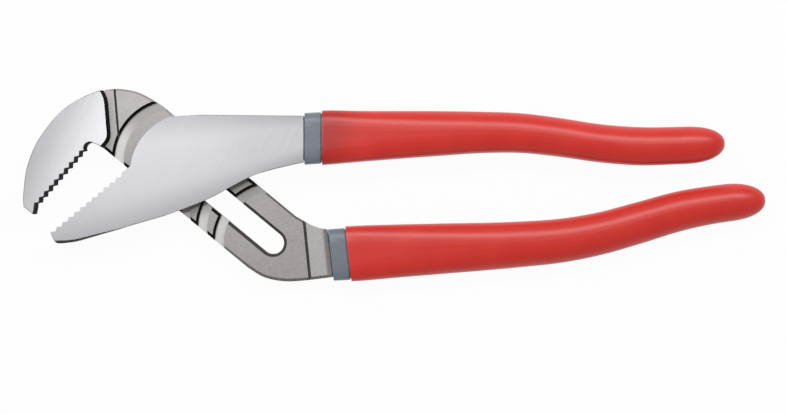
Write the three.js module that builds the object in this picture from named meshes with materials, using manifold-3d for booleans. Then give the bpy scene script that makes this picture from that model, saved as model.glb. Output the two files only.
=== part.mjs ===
// Water pump pliers, the kind whose lower jaw is set by a tongue in one of seven curved grooves.
// Millimetres, Z up. The pliers lie on their back, with the nut's face on Z = 0. The origin is on the
// bolt's axis, +X runs from the bolt towards the handles and +Y from the lower jaw's side to the upper's.
import * as THREE from 'three';
import { mergeVertices } from 'three/addons/utils/BufferGeometryUtils.js';
import Module from 'manifold-3d';

const wasm = await Module();
wasm.setup();

// Levels at the joint, from the table up
const NUT_HEIGHT = 2.4;
const WASHER_THICKNESS = 0.8;
const LEVER_THICKNESS = 5.5;
const NECK_DROP = 0.35;

// Bolt, washer and nut
const SHANK_DIAMETER = 5.4;
const THREAD_DIAMETER = 4.6;
const HEAD_DIAMETER = 10.0;
const HEAD_HEIGHT = 3.8;
const WASHER_DIAMETER = 16.0;
const NUT_ACROSS_FLATS = 11.0;
const BORE_GAP = 0.2;

// Slot, tongue and grooves
const SLOT_ANGLE = degrees(-39.6);
const PITCH = 7.4;
const SETTINGS_INWARD = 1;
const SETTINGS_OUTWARD = 5;
const SLOT_CLEARANCE = 1.1;
const SLOT_OFFSET = -0.4;
const SLOT_END_GAP = 0.5;
const TONGUE_OUTER_RADIUS = 20.2;
const TONGUE_WIDTH = 2.25;
const TONGUE_HEIGHT = 1.5;
const TONGUE_START = degrees(110);
const TONGUE_END = degrees(171);
const GROOVE_CLEARANCE = 0.5;
const GROOVE_FLOOR_GAP = 0.3;
const GROOVE_SPREAD = degrees(60);

// Slotted bar, either side of the slot's centre line
const BAR_UPPER_HALF = 11.5;
const BAR_LOWER_HALF = 12.35;
const BAR_UPPER_LEAD = 12.0;
const BAR_LOWER_LEAD = 23.0;
const BAR_LOWER_BLEND = 1.2;
const WALL_ROUNDING = 2.2;

// Front lever
const ROUND_EDGE_RADIUS = 20.5;
const ROUND_EDGE_START = degrees(108);
const ROUND_EDGE_END = degrees(172.6);
const TOP_EDGE_DROP = 0.4;
const ROUND_EDGE_BLEND = 0.7;
const JAW_CLEARANCE_RADIUS = 30.5;
const EDGE_BEVEL_WIDTH = 5.0;
const EDGE_BEVEL_HEIGHT = 3.0;
const EDGE_BEVEL_START = 8.0;

// Teeth
const TOOTH_DEPTH = 0.95;
const UPPER_TOOTH_COUNT = 10;
const LOWER_TOOTH_COUNT = 12;
const THROAT_RADIUS = 2.1;

// Grips and the liners under them
const GRIP_WALL = 0.9;
const LINER_WALL = 0.6;
const SLEEVE_GAP = 0.2;
const COLLAR_LENGTH = 5.7;
const COLLAR_STEP = 0.55;
const COLLAR_PROUD = 0.25;
const SEAT_GAP = 0.3;
const TAIL_WALL = 9.0;
const TAIL_ROUNDING = 13.5;
const TAIL_POWER = 2.2;
const SECTION_POWER = 2.6;

// Handles: stations along, across, half width and half thickness of the grip, from the collar's edge
const UPPER_ROOT = new THREE.Vector2(38.7, 12.1);
const UPPER_TILT = degrees(0);
const UPPER_STATIONS = [
  [0, -0.1, 9.35, 5.5],
  [6.6, 0.3, 9.3, 5.6],
  [18.9, 0.75, 8.7, 5.8],
  [46.2, 1.75, 7.65, 6.0],
  [59.8, 2.1, 7.1, 5.9],
  [73.5, 1.9, 6.8, 5.8],
  [87.1, 0.4, 6.65, 5.7],
  [100.8, -1.6, 6.55, 5.6],
  [114.4, -2.6, 6.55, 5.5],
  [128.0, -2.35, 6.4, 5.4],
  [143.3, -1.7, 6.4, 5.3],
];
const LOWER_ROOT_FROM_SLOT_END = new THREE.Vector2(19.5, -4.1);
const LOWER_TILT = degrees(6.5);
const LOWER_STATIONS = [
  [0, -0.35, 9.4, 5.5],
  [8.0, -0.75, 9.5, 5.6],
  [23.6, -1.6, 9.1, 5.8],
  [37.3, -2.45, 8.7, 6.0],
  [64.7, -4.05, 7.85, 5.9],
  [78.5, -4.4, 7.55, 5.8],
  [92.3, -3.5, 7.3, 5.7],
  [106.4, -1.3, 7.15, 5.6],
  [120.4, 1.05, 6.85, 5.5],
  [134.3, 2.0, 6.5, 5.4],
  [149.9, 1.75, 6.5, 5.3],
];

// Necks at the collars: steps from the collar's sides, and lengths over which they swell to the tangs
const UPPER_NECK_STEPS = { low: 0.75, high: 1.05 };
const LOWER_NECK_STEPS = { low: 1.3, high: 0 };
const UPPER_RAMP = 8.0;
const LOWER_RAMP = 1.4;
const SHOULDER_LENGTH = 2.3;
const SHOULDER_STEPS = 3;

// Fineness of the round shapes
const RING_SIDES = 20;
const TAIL_RINGS = 6;
const STATION_STEP = 9;
const ARC_STEPS = 10;
const ROUND_STEPS = 28;

// Levels and places that follow from the sizes above
const BAR_BOTTOM = NUT_HEIGHT + WASHER_THICKNESS;
const JOINT_LEVEL = BAR_BOTTOM + LEVER_THICKNESS;
const FACE_LEVEL = JOINT_LEVEL + LEVER_THICKNESS;
const CUT_MARGIN = 5;
const FIRST_BOLT = alongSlot(-SETTINGS_INWARD * PITCH);
const SLOT_HALF = SHANK_DIAMETER / 2 + SLOT_CLEARANCE;
const SLOT_END_INSET = SLOT_CLEARANCE - SLOT_END_GAP;
const SLOT_NEAR_END = -SETTINGS_INWARD * PITCH + SLOT_END_INSET;
const SLOT_FAR_END = SETTINGS_OUTWARD * PITCH - SLOT_END_INSET;
const LINER_INSET = GRIP_WALL + SLEEVE_GAP;
const LINER_BORE_INSET = LINER_INSET + LINER_WALL;
const TANG_INSET = LINER_BORE_INSET + SLEEVE_GAP;
const upperHandle = makeHandle(UPPER_ROOT, UPPER_TILT, UPPER_STATIONS);
const LOWER_ROOT = alongSlot(SLOT_FAR_END).add(LOWER_ROOT_FROM_SLOT_END);
const lowerHandle = makeHandle(LOWER_ROOT, LOWER_TILT, LOWER_STATIONS);
upperHandle.level = FACE_LEVEL + COLLAR_PROUD - (UPPER_STATIONS[0][3] - COLLAR_STEP);
lowerHandle.level = Math.max(...LOWER_STATIONS.map((station) => station[3]));

function degrees(angle) {
  return THREE.MathUtils.degToRad(angle);
}

// A point on the bar: distance along the slot from the bolt, and offset to its upper side
function alongSlot(distance, offset = 0) {
  return new THREE.Vector2(distance, offset).rotateAround(new THREE.Vector2(), SLOT_ANGLE);
}

// A point of the upper jaw, measured from the bolt's place at the first groove
function fromFirstBolt(x, y) {
  return new THREE.Vector2(x, y).add(FIRST_BOLT);
}

// A closed geometry as a solid that can be joined and cut
function solid(geometry) {
  const bare = geometry.clone();
  bare.deleteAttribute('normal');
  bare.deleteAttribute('uv');
  const merged = mergeVertices(bare, 1e-5);
  const vertProperties = new Float32Array(merged.attributes.position.array);
  const triVerts = new Uint32Array(merged.index.array);
  return new wasm.Manifold(new wasm.Mesh({ numProp: 3, vertProperties, triVerts }));
}

function meshOf(name, body, material) {
  const result = body.getMesh();
  const geometry = new THREE.BufferGeometry();
  geometry.setAttribute('position', new THREE.BufferAttribute(new Float32Array(result.vertProperties), 3));
  geometry.setIndex(new THREE.BufferAttribute(new Uint32Array(result.triVerts), 1));
  geometry.computeVertexNormals();
  const mesh = new THREE.Mesh(geometry, material);
  mesh.name = name;
  return mesh;
}

function extruded(shape, bottom, top) {
  const options = { depth: top - bottom, bevelEnabled: false, curveSegments: ARC_STEPS };
  return solid(new THREE.ExtrudeGeometry(shape, options).translate(0, 0, bottom));
}

function cylinder(diameter, bottom, top, sides = ROUND_STEPS) {
  const geometry = new THREE.CylinderGeometry(diameter / 2, diameter / 2, top - bottom, sides);
  return solid(geometry.rotateX(Math.PI / 2).translate(0, 0, (top + bottom) / 2));
}

function polygon(points) {
  return new THREE.Shape(points);
}

// Part of a ring about a centre, between two radii and two angles
function ringSector(center, innerRadius, outerRadius, start, end) {
  const shape = new THREE.Shape();
  shape.absarc(center.x, center.y, outerRadius, start, end, false);
  shape.absarc(center.x, center.y, innerRadius, end, start, true);
  return shape;
}

// Adds a rounded corner to an outline, between the line to it and the line on to the next point
function addRoundCorner(shape, corner, next) {
  const before = shape.currentPoint.clone().sub(corner).setLength(WALL_ROUNDING).add(corner);
  const after = next.clone().sub(corner).setLength(WALL_ROUNDING).add(corner);
  shape.lineTo(before.x, before.y);
  shape.quadraticCurveTo(corner.x, corner.y, after.x, after.y);
}

// Adds pointed teeth to an outline, from its current point to the end, cut in on the left-hand side
function addTeeth(shape, start, end, count) {
  const step = end.clone().sub(start).divideScalar(count);
  const inward = new THREE.Vector2(-step.y, step.x).setLength(TOOTH_DEPTH);
  for (let tooth = 0; tooth < count; tooth += 1) {
    const valley = start.clone().addScaledVector(step, tooth + 0.5).add(inward);
    const peak = start.clone().addScaledVector(step, tooth + 1);
    shape.lineTo(valley.x, valley.y);
    shape.lineTo(peak.x, peak.y);
  }
}

// A handle's course: a smooth curve through its stations, laid from its root at its tilt
function makeHandle(root, tilt, stations) {
  const places = stations.map((station) => station[0]);
  const values = stations.flatMap((station) => station.slice(1));
  const curve = new THREE.CubicInterpolant(places, values, 3);
  return { root, tilt, curve, length: places[places.length - 1], level: 0 };
}

// A point of a handle in plan
function handlePoint(handle, distance, across) {
  return new THREE.Vector2(distance, across).rotateAround(new THREE.Vector2(), handle.tilt).add(handle.root);
}

function stationAt(handle, distance) {
  const inside = THREE.MathUtils.clamp(distance, 0, handle.length);
  const [across, halfWidth, halfThickness] = handle.curve.evaluate(inside);
  return { across, halfWidth, halfThickness };
}

// One rounded-rectangle ring of a handle, with its half sizes and the level of its middle
function ring(handle, distance, across, halfWidth, halfThickness, level) {
  const points = [];
  for (let side = 0; side < RING_SIDES; side += 1) {
    const angle = ((side + 0.5) / RING_SIDES) * 2 * Math.PI;
    const c = Math.cos(angle);
    const s = Math.sin(angle);
    const wide = Math.sign(c) * halfWidth * Math.abs(c) ** (2 / SECTION_POWER);
    const thick = Math.sign(s) * halfThickness * Math.abs(s) ** (2 / SECTION_POWER);
    const flat = handlePoint(handle, distance, across + wide);
    points.push(new THREE.Vector3(flat.x, flat.y, level + thick));
  }
  return points;
}

// The ring of a sleeve that lies an inset inside the grip's surface
function insetRing(handle, distance, inset) {
  const { across, halfWidth, halfThickness } = stationAt(handle, distance);
  return ring(handle, distance, across, halfWidth - inset, halfThickness - inset, handle.level);
}

// A closed body through rings of equal count, flat at both ends
function loft(rings) {
  const positions = rings.flat().flatMap((point) => [point.x, point.y, point.z]);
  const sides = rings[0].length;
  const last = (rings.length - 1) * sides;
  const index = [];
  for (let row = 0; row < rings.length - 1; row += 1) {
    for (let side = 0; side < sides; side += 1) {
      const a = row * sides + side;
      const b = row * sides + ((side + 1) % sides);
      index.push(a, b, a + sides, b, b + sides, a + sides);
    }
  }
  for (let side = 1; side < sides - 1; side += 1) {
    index.push(0, side + 1, side);
    index.push(last, last + side, last + side + 1);
  }
  const geometry = new THREE.BufferGeometry();
  geometry.setAttribute('position', new THREE.Float32BufferAttribute(positions, 3));
  geometry.setIndex(index);
  return solid(geometry);
}

// Distances from one station of a handle to another, in about equal steps
function steps(start, end, size) {
  const count = Math.max(1, Math.ceil((end - start) / size));
  return Array.from({ length: count + 1 }, (_, i) => start + ((end - start) * i) / count);
}

function sleeve(handle, start, end, inset) {
  return loft(steps(start, end, STATION_STEP).map((distance) => insetRing(handle, distance, inset)));
}

// Where a handle's steel tang ends inside its sleeves
function tangEnd(handle) {
  return handle.length - TAIL_WALL;
}

// Plastic grip: a sleeve with a rounded tail, open towards the collar
function makeGrip(handle) {
  const roundFrom = handle.length - TAIL_ROUNDING;
  const straight = steps(COLLAR_LENGTH + SEAT_GAP, roundFrom, STATION_STEP);
  const rings = straight.map((at) => insetRing(handle, at, 0));
  for (let row = 1; row <= TAIL_RINGS; row += 1) {
    const angle = ((row - 0.3) / TAIL_RINGS) * (Math.PI / 2);
    const distance = roundFrom + TAIL_ROUNDING * Math.sin(angle) ** (2 / TAIL_POWER);
    const { across, halfWidth, halfThickness } = stationAt(handle, distance);
    const shrink = Math.cos(angle) ** (2 / TAIL_POWER);
    rings.push(ring(handle, distance, across, halfWidth * shrink, halfThickness * shrink, handle.level));
  }
  const cavityEnd = tangEnd(handle) + 2 * SEAT_GAP + LINER_WALL;
  return loft(rings).subtract(sleeve(handle, COLLAR_LENGTH - CUT_MARGIN, cavityEnd, GRIP_WALL));
}

// Liner: a thin sleeve round the tang, with a thicker collar that shows in front of the grip
function makeLiner(handle) {
  const sleeveEnd = tangEnd(handle) + SEAT_GAP + LINER_WALL;
  const boreEnd = tangEnd(handle) + SEAT_GAP;
  const collar = sleeve(handle, 0, COLLAR_LENGTH, COLLAR_STEP);
  const outside = sleeve(handle, 0, sleeveEnd, LINER_INSET).add(collar);
  return outside.subtract(sleeve(handle, -CUT_MARGIN, boreEnd, LINER_BORE_INSET));
}

// Steel tang, swelling out of the neck of its lever over a short ramp
function makeTang(handle, ramp, neckBottom, neckTop) {
  const { across, halfWidth } = stationAt(handle, 0);
  const rootHalf = (neckTop - neckBottom) / 2 - SEAT_GAP;
  const rootLevel = (neckTop + neckBottom) / 2;
  const root = ring(handle, -ramp, across, halfWidth - TANG_INSET, rootHalf, rootLevel);
  const full = steps(-SEAT_GAP, tangEnd(handle), STATION_STEP).map((at) => insetRing(handle, at, TANG_INSET));
  return loft([root, ...full]);
}

// A wedge along an edge of a lever's underside, sloping up from inside the edge to past it
function edgeBevel(path) {
  const slope = EDGE_BEVEL_HEIGHT / EDGE_BEVEL_WIDTH;
  const rings = path.map((point, i) => {
    const next = path[Math.min(i + 1, path.length - 1)];
    const before = path[Math.max(i - 1, 0)];
    const course = next.clone().sub(before).normalize();
    const inward = new THREE.Vector2(-course.y, course.x);
    const inner = point.clone().addScaledVector(inward, EDGE_BEVEL_WIDTH);
    const outer = point.clone().addScaledVector(inward, -CUT_MARGIN);
    return [
      new THREE.Vector3(outer.x, outer.y, JOINT_LEVEL - CUT_MARGIN),
      new THREE.Vector3(inner.x, inner.y, JOINT_LEVEL),
      new THREE.Vector3(outer.x, outer.y, JOINT_LEVEL + EDGE_BEVEL_HEIGHT + CUT_MARGIN * slope),
    ];
  });
  return loft(rings);
}

// A neck's two corners at the collar, lower edge first
function neckCorners(handle, neckSteps) {
  const { across, halfWidth } = stationAt(handle, 0);
  const collarHalf = halfWidth - COLLAR_STEP;
  return [
    handlePoint(handle, -SEAT_GAP, across - collarHalf + neckSteps.low),
    handlePoint(handle, -SEAT_GAP, across + collarHalf - neckSteps.high),
  ];
}

// A neck's shoulder: its whole width swells in a hollow curve to the thickness of the tang
function makeShoulder(handle, outline, neckBottom, neckTop) {
  const { halfWidth, halfThickness } = stationAt(handle, 0);
  const tangHalf = halfThickness - TANG_INSET;
  const rings = [];
  for (let step = 0; step <= SHOULDER_STEPS; step += 1) {
    const part = step / SHOULDER_STEPS;
    const distance = THREE.MathUtils.lerp(-SHOULDER_LENGTH, -SEAT_GAP, part);
    const top = THREE.MathUtils.lerp(neckTop, handle.level + tangHalf, part ** 2);
    const bottom = THREE.MathUtils.lerp(neckBottom, handle.level - tangHalf, part ** 2);
    const low = handlePoint(handle, distance, -2 * halfWidth);
    const high = handlePoint(handle, distance, 2 * halfWidth);
    rings.push([
      new THREE.Vector3(high.x, high.y, bottom),
      new THREE.Vector3(high.x, high.y, top),
      new THREE.Vector3(low.x, low.y, top),
      new THREE.Vector3(low.x, low.y, bottom),
    ]);
  }
  return loft(rings).intersect(extruded(outline, 0, FACE_LEVEL));
}

// Front lever: lower jaw, round edge over the grooves and upper handle
function makeFrontLever() {
  const tip = new THREE.Vector2(-47.3, -19.6);
  const throat = new THREE.Vector2(-23.2, 0.4);
  const [neckLow, neckHigh] = neckCorners(upperHandle, UPPER_NECK_STEPS);
  const neckCurve = new THREE.SplineCurve([
    new THREE.Vector2(-9.4, -14.3),
    new THREE.Vector2(4.9, -8.9),
    new THREE.Vector2(19.6, -1.25),
    new THREE.Vector2(28.0, 1.55),
    neckLow,
  ]);
  const neckEdge = neckCurve.getPoints(2 * ARC_STEPS);
  const bevelPath = neckEdge.filter((point) => point.x > EDGE_BEVEL_START);
  const outline = new THREE.Shape();
  outline.moveTo(-44.8, -23.6);
  outline.quadraticCurveTo(-42.0, -23.6, -38.7, -22.85);
  neckEdge.forEach((point) => outline.lineTo(point.x, point.y));
  outline.lineTo(neckHigh.x, neckHigh.y);
  outline.lineTo(3.3, ROUND_EDGE_RADIUS - TOP_EDGE_DROP);
  outline.lineTo(-3.0, ROUND_EDGE_RADIUS - ROUND_EDGE_BLEND);
  outline.absarc(0, 0, ROUND_EDGE_RADIUS, ROUND_EDGE_START, ROUND_EDGE_END, false);
  outline.lineTo(throat.x, throat.y);
  addTeeth(outline, throat, tip, LOWER_TOOTH_COUNT);
  outline.lineTo(-47.5, -20.0);
  outline.lineTo(-46.6, -22.0);
  outline.quadraticCurveTo(-45.8, -23.6, -44.8, -23.6);

  const underJoint = new THREE.Shape();
  underJoint.absarc(0, 0, JAW_CLEARANCE_RADIUS, degrees(90), degrees(270), false);
  underJoint.lineTo(neckHigh.x + CUT_MARGIN, -JAW_CLEARANCE_RADIUS);
  underJoint.lineTo(neckHigh.x + CUT_MARGIN, JAW_CLEARANCE_RADIUS);

  const tongueInner = TONGUE_OUTER_RADIUS - TONGUE_WIDTH;
  const tongue = ringSector(new THREE.Vector2(), tongueInner, TONGUE_OUTER_RADIUS, TONGUE_START, TONGUE_END);
  const merge = LEVER_THICKNESS / 4;
  const headPocketTop = JOINT_LEVEL + HEAD_HEIGHT + SEAT_GAP;
  return extruded(outline, BAR_BOTTOM, FACE_LEVEL)
    .subtract(extruded(underJoint, BAR_BOTTOM - CUT_MARGIN, JOINT_LEVEL))
    .subtract(edgeBevel([...bevelPath, neckLow.clone().setX(neckLow.x + CUT_MARGIN)]))
    .add(extruded(tongue, JOINT_LEVEL - TONGUE_HEIGHT, JOINT_LEVEL + merge))
    .add(makeTang(upperHandle, UPPER_RAMP, JOINT_LEVEL, FACE_LEVEL))
    .subtract(cylinder(HEAD_DIAMETER + 2 * BORE_GAP, JOINT_LEVEL - CUT_MARGIN, headPocketTop));
}

// The slot: a straight run with round ends, wide enough for the bolt's shank
function slotShape() {
  const near = alongSlot(SLOT_NEAR_END, SLOT_OFFSET);
  const far = alongSlot(SLOT_FAR_END, SLOT_OFFSET);
  const quarter = degrees(90);
  const shape = new THREE.Shape();
  shape.absarc(far.x, far.y, SLOT_HALF, SLOT_ANGLE - quarter, SLOT_ANGLE + quarter, false);
  shape.absarc(near.x, near.y, SLOT_HALF, SLOT_ANGLE + quarter, SLOT_ANGLE + 3 * quarter, false);
  return shape;
}

// One curved groove, centred on the bolt's place at that setting
function grooveShape(setting) {
  const inner = TONGUE_OUTER_RADIUS - TONGUE_WIDTH - GROOVE_CLEARANCE;
  const outer = TONGUE_OUTER_RADIUS + GROOVE_CLEARANCE;
  const towardsJaw = SLOT_ANGLE + Math.PI;
  const center = alongSlot(setting * PITCH);
  return ringSector(center, inner, outer, towardsJaw - GROOVE_SPREAD, towardsJaw + GROOVE_SPREAD);
}

// Rear lever: upper jaw, slotted bar with its grooves and lower handle
function makeRearLever() {
  const slotEnd = alongSlot(SLOT_FAR_END);
  const fromSlotEnd = (x, y) => new THREE.Vector2(x, y).add(slotEnd);
  const tip = fromFirstBolt(-47.3, -16.3);
  const tipEnd = fromFirstBolt(-47.75, -18.4);
  const tipBack = fromFirstBolt(-50.9, -15.8);
  const throat = fromFirstBolt(-30.3, 3.3);
  const throatCenter = fromFirstBolt(-28.4, 4.0);
  const barStart = alongSlot(-SETTINGS_INWARD * PITCH - BAR_LOWER_LEAD, -BAR_LOWER_HALF);
  const barLowEnd = alongSlot(SLOT_FAR_END - BAR_LOWER_BLEND, -BAR_LOWER_HALF);
  const barHighEnd = alongSlot(SLOT_FAR_END, BAR_UPPER_HALF);
  const barHighStart = alongSlot(-SETTINGS_INWARD * PITCH - BAR_UPPER_LEAD, BAR_UPPER_HALF);
  const [neckLow, neckHigh] = neckCorners(lowerHandle, LOWER_NECK_STEPS);

  const outline = new THREE.Shape();
  outline.moveTo(tip.x, tip.y);
  addTeeth(outline, tip, throat, UPPER_TOOTH_COUNT);
  outline.absarc(throatCenter.x, throatCenter.y, THROAT_RADIUS, degrees(190), degrees(55), true);
  outline.lineTo(barStart.x, barStart.y);
  outline.lineTo(barLowEnd.x, barLowEnd.y);
  outline.splineThru([fromSlotEnd(-3.3, -12.0), fromSlotEnd(3.4, -13.4), fromSlotEnd(10.4, -13.15), neckLow]);
  outline.lineTo(neckHigh.x, neckHigh.y);
  outline.splineThru([
    fromSlotEnd(15.8, 4.7),
    fromSlotEnd(13.1, 5.6),
    fromSlotEnd(10.7, 6.9),
    barHighEnd,
  ]);
  outline.lineTo(barHighStart.x, barHighStart.y);
  outline.splineThru([
    fromFirstBolt(-5.9, 19.6),
    fromFirstBolt(-13.9, 23.6),
    fromFirstBolt(-24.0, 23.95),
    fromFirstBolt(-36.25, 18.1),
    fromFirstBolt(-45.2, 8.0),
    fromFirstBolt(-49.65, -2.0),
    fromFirstBolt(-51.1, -12.2),
  ]);
  outline.lineTo(tipBack.x, tipBack.y);
  outline.lineTo(tipEnd.x, tipEnd.y);

  const wallTop = fromFirstBolt(-26.7, 28.2);
  const wallHigh = fromFirstBolt(-22.85, 21.2);
  const wallLow = fromFirstBolt(-21.7, 7.2);
  const wallFoot = fromFirstBolt(-26.0, 2.4);
  const pastNeckLow = handlePoint(lowerHandle, CUT_MARGIN, -lowerHandle.length);
  const pastNeckHigh = handlePoint(lowerHandle, CUT_MARGIN, lowerHandle.length);
  const jointFace = polygon([wallTop]);
  addRoundCorner(jointFace, wallHigh, wallLow);
  addRoundCorner(jointFace, wallLow, wallFoot);
  jointFace.lineTo(wallFoot.x, wallFoot.y);
  jointFace.lineTo(pastNeckLow.x, pastNeckLow.y);
  jointFace.lineTo(pastNeckHigh.x, pastNeckHigh.y);
  const neckFace = polygon([fromSlotEnd(12.6, -16.0), pastNeckLow, pastNeckHigh, fromSlotEnd(10.0, 10.0)]);
  const grooveDepth = TONGUE_HEIGHT + GROOVE_FLOOR_GAP;
  let body = extruded(outline, BAR_BOTTOM, FACE_LEVEL)
    .subtract(extruded(jointFace, JOINT_LEVEL, FACE_LEVEL + CUT_MARGIN))
    .subtract(extruded(neckFace, JOINT_LEVEL - NECK_DROP, FACE_LEVEL + CUT_MARGIN))
    .subtract(extruded(slotShape(), BAR_BOTTOM - CUT_MARGIN, FACE_LEVEL + CUT_MARGIN));
  for (let setting = -SETTINGS_INWARD; setting <= SETTINGS_OUTWARD; setting += 1) {
    body = body.subtract(extruded(grooveShape(setting), JOINT_LEVEL - grooveDepth, JOINT_LEVEL + CUT_MARGIN));
  }
  const neckTop = JOINT_LEVEL - NECK_DROP;
  return body
    .add(makeShoulder(lowerHandle, outline, BAR_BOTTOM, neckTop))
    .add(makeTang(lowerHandle, LOWER_RAMP, BAR_BOTTOM, neckTop));
}

// Bolt: a head let into the front lever, a shank through the slot and a thread through washer and nut
function makeBolt() {
  const outline = [
    [0, 0],
    [THREAD_DIAMETER / 2, 0],
    [THREAD_DIAMETER / 2, BAR_BOTTOM],
    [SHANK_DIAMETER / 2, BAR_BOTTOM],
    [SHANK_DIAMETER / 2, JOINT_LEVEL],
    [HEAD_DIAMETER / 2, JOINT_LEVEL],
    [HEAD_DIAMETER / 2, JOINT_LEVEL + HEAD_HEIGHT],
    [0, JOINT_LEVEL + HEAD_HEIGHT],
  ];
  const points = outline.map(([radius, height]) => new THREE.Vector2(radius, height));
  return solid(new THREE.LatheGeometry(points, ROUND_STEPS).rotateX(Math.PI / 2));
}

function makeWasher() {
  const hole = cylinder(THREAD_DIAMETER + 2 * BORE_GAP, -CUT_MARGIN, BAR_BOTTOM + CUT_MARGIN);
  return cylinder(WASHER_DIAMETER, NUT_HEIGHT, BAR_BOTTOM).subtract(hole);
}

function makeNut() {
  const acrossCorners = NUT_ACROSS_FLATS / Math.cos(Math.PI / 6);
  const hole = cylinder(THREAD_DIAMETER + 2 * BORE_GAP, -CUT_MARGIN, BAR_BOTTOM + CUT_MARGIN);
  return cylinder(acrossCorners, 0, NUT_HEIGHT, 6).subtract(hole);
}

// Looks
const brushedSteel = new THREE.MeshStandardMaterial({ color: 0xc9c9cc, roughness: 0.42, metalness: 0.9 });
const blastedSteel = new THREE.MeshStandardMaterial({ color: 0xaca6a4, roughness: 0.6, metalness: 0.8 });
const platedSteel = new THREE.MeshStandardMaterial({ color: 0x8f9194, roughness: 0.4, metalness: 0.9 });
const redVinyl = new THREE.MeshStandardMaterial({ color: 0xc8352d, roughness: 0.35, metalness: 0 });
const greyVinyl = new THREE.MeshStandardMaterial({ color: 0x727a84, roughness: 0.5, metalness: 0 });

const pliers = new THREE.Group();
pliers.add(meshOf('front_lever', makeFrontLever(), brushedSteel));
pliers.add(meshOf('rear_lever', makeRearLever(), blastedSteel));
pliers.add(meshOf('pivot_bolt', makeBolt(), platedSteel));
pliers.add(meshOf('pivot_washer', makeWasher(), platedSteel));
pliers.add(meshOf('pivot_nut', makeNut(), platedSteel));
pliers.add(meshOf('upper_grip', makeGrip(upperHandle), redVinyl));
pliers.add(meshOf('lower_grip', makeGrip(lowerHandle), redVinyl));
pliers.add(meshOf('upper_grip_liner', makeLiner(upperHandle), greyVinyl));
pliers.add(meshOf('lower_grip_liner', makeLiner(lowerHandle), greyVinyl));

export default pliers;
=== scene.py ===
import math
import bmesh
import bpy
import numpy as np
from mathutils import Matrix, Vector


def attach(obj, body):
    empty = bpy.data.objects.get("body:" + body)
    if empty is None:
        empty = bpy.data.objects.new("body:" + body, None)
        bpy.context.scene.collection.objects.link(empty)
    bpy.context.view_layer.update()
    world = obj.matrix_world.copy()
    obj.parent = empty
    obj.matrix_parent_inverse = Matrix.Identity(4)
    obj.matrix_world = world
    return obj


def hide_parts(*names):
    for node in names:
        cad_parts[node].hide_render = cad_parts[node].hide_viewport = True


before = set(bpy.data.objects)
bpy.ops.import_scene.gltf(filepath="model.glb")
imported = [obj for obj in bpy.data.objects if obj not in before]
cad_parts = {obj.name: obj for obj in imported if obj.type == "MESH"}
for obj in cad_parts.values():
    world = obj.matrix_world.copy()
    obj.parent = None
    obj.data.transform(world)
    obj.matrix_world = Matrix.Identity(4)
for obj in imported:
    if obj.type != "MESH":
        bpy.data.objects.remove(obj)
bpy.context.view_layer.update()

# Rear lever
# One steel forging: the upper jaw, a slotted bar with seven curved grooves, and the lower handle's tang.
# The forging is blasted grey, then its jaw face is ground bright. The cut walls keep a black oxide, which
# is also painted shade where they lie in shadow.

# Lengths here and below are in millimetres, and a finished mesh is scaled to metres
MM = 0.001

# Levels above the table
BAR_BOTTOM = 3.2
GROOVE_FLOOR = 6.9
NECK_LEVEL = 8.35
SHOULDER_RISE = 1.25
JOINT_LEVEL = 8.7
FACE_LEVEL = 14.2

# The slot, measured from the bolt in the groove in use, and the bolt's other places along it
SLOT_ANGLE = math.radians(-39.6)
SLOT_HALF_WIDTH = 3.8
SLOT_OFFSET = -0.4
SLOT_ENDS = (-6.8, 36.4)
PITCH = 7.4
SETTINGS = range(-1, 6)
GROOVE_RADIUS = 20.7
GROOVE_SPREAD = math.radians(60)

# Where the parts of the bar end, along the slot and across it, and where the tang starts
JAW_FOOT = -28.8
HEAD_LAND = -25.0
HEAD_END = -14.0
LAST_GROOVE = 22.5
BAR_UPPER_SIDE = 11.5
BAR_LOWER_SIDE = -12.35
LOWER_TANG = 48.5

# Widths of the slopes and bevels
GROOVE_SLOPE = 0.9
WALL_SLOPE = 0.8
SLOT_CHAMFER = 1.0
UPPER_EDGE = 0.6
LOWER_EDGE = 1.0
LAND_EDGE = 1.0
JAW_EDGE = 0.25

# Lines scribed across the ledge and the neck
LEDGE_LINE = [(-26.7, 34.0), (-24.85, 12.2)]
LEDGE_LINE_WIDTH = 0.75
NECK_LINE = [(38.2, -13.0), (40.9, -39.5)]
NECK_LINE_WIDTH = 1.1
LINE_DEPTH = 0.9

# The raised jaw: its row of teeth, its throat, and the corners of the wall down to the bar
UPPER_TEETH = [(-53.0, -11.6), (-36.0, 8.0)]
TEETH_REACH = 1.3
THROAT = (-34.1, 8.7)
THROAT_REACH = 2.6
WALL_TOP = (-34.5, 37.0)
WALL_HIGH = (-28.55, 25.9)
WALL_LOW = (-27.4, 11.9)
WALL_FOOT = (-34.0, 4.5)
WALL_ROUNDING = 2.2

# Where painted shade dulls the bright finishes: the jaw towards its rim, the groove floors towards the
# upper side
JAW_RIM = (-40.9, 27.8)
JAW_RIM_TURN = math.radians(-34.2)
JAW_HIGHLIGHT_FROM = 17.0
FLOOR_HIGHLIGHT_TO = -8.0
FLOOR_HIGHLIGHT_END = 4.0

# The marks of belt, mill and grit on any of the steels
BELT_TURN = math.radians(62)
MILL_TURN = math.radians(50)
CROSS_TURN = math.radians(90)
MARK_DEPTH = 0.05
MARK_STRENGTH = 0.12
ROUGHNESS_SWING = 0.06
CLOUDS_PER_MM = 0.06
CLOUD_SHARE = 0.45
DARKEST_AT = 0.45
OXIDE_SHINE = 0.1


def srgb(text):
    """A hex colour as linear red, green and blue with full alpha."""
    parts = [int(text[i:i + 2], 16) / 255 for i in (1, 3, 5)]
    linear = [c / 12.92 if c <= 0.04045 else ((c + 0.055) / 1.055) ** 2.4 for c in parts]
    return (*linear, 1.0)


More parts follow.
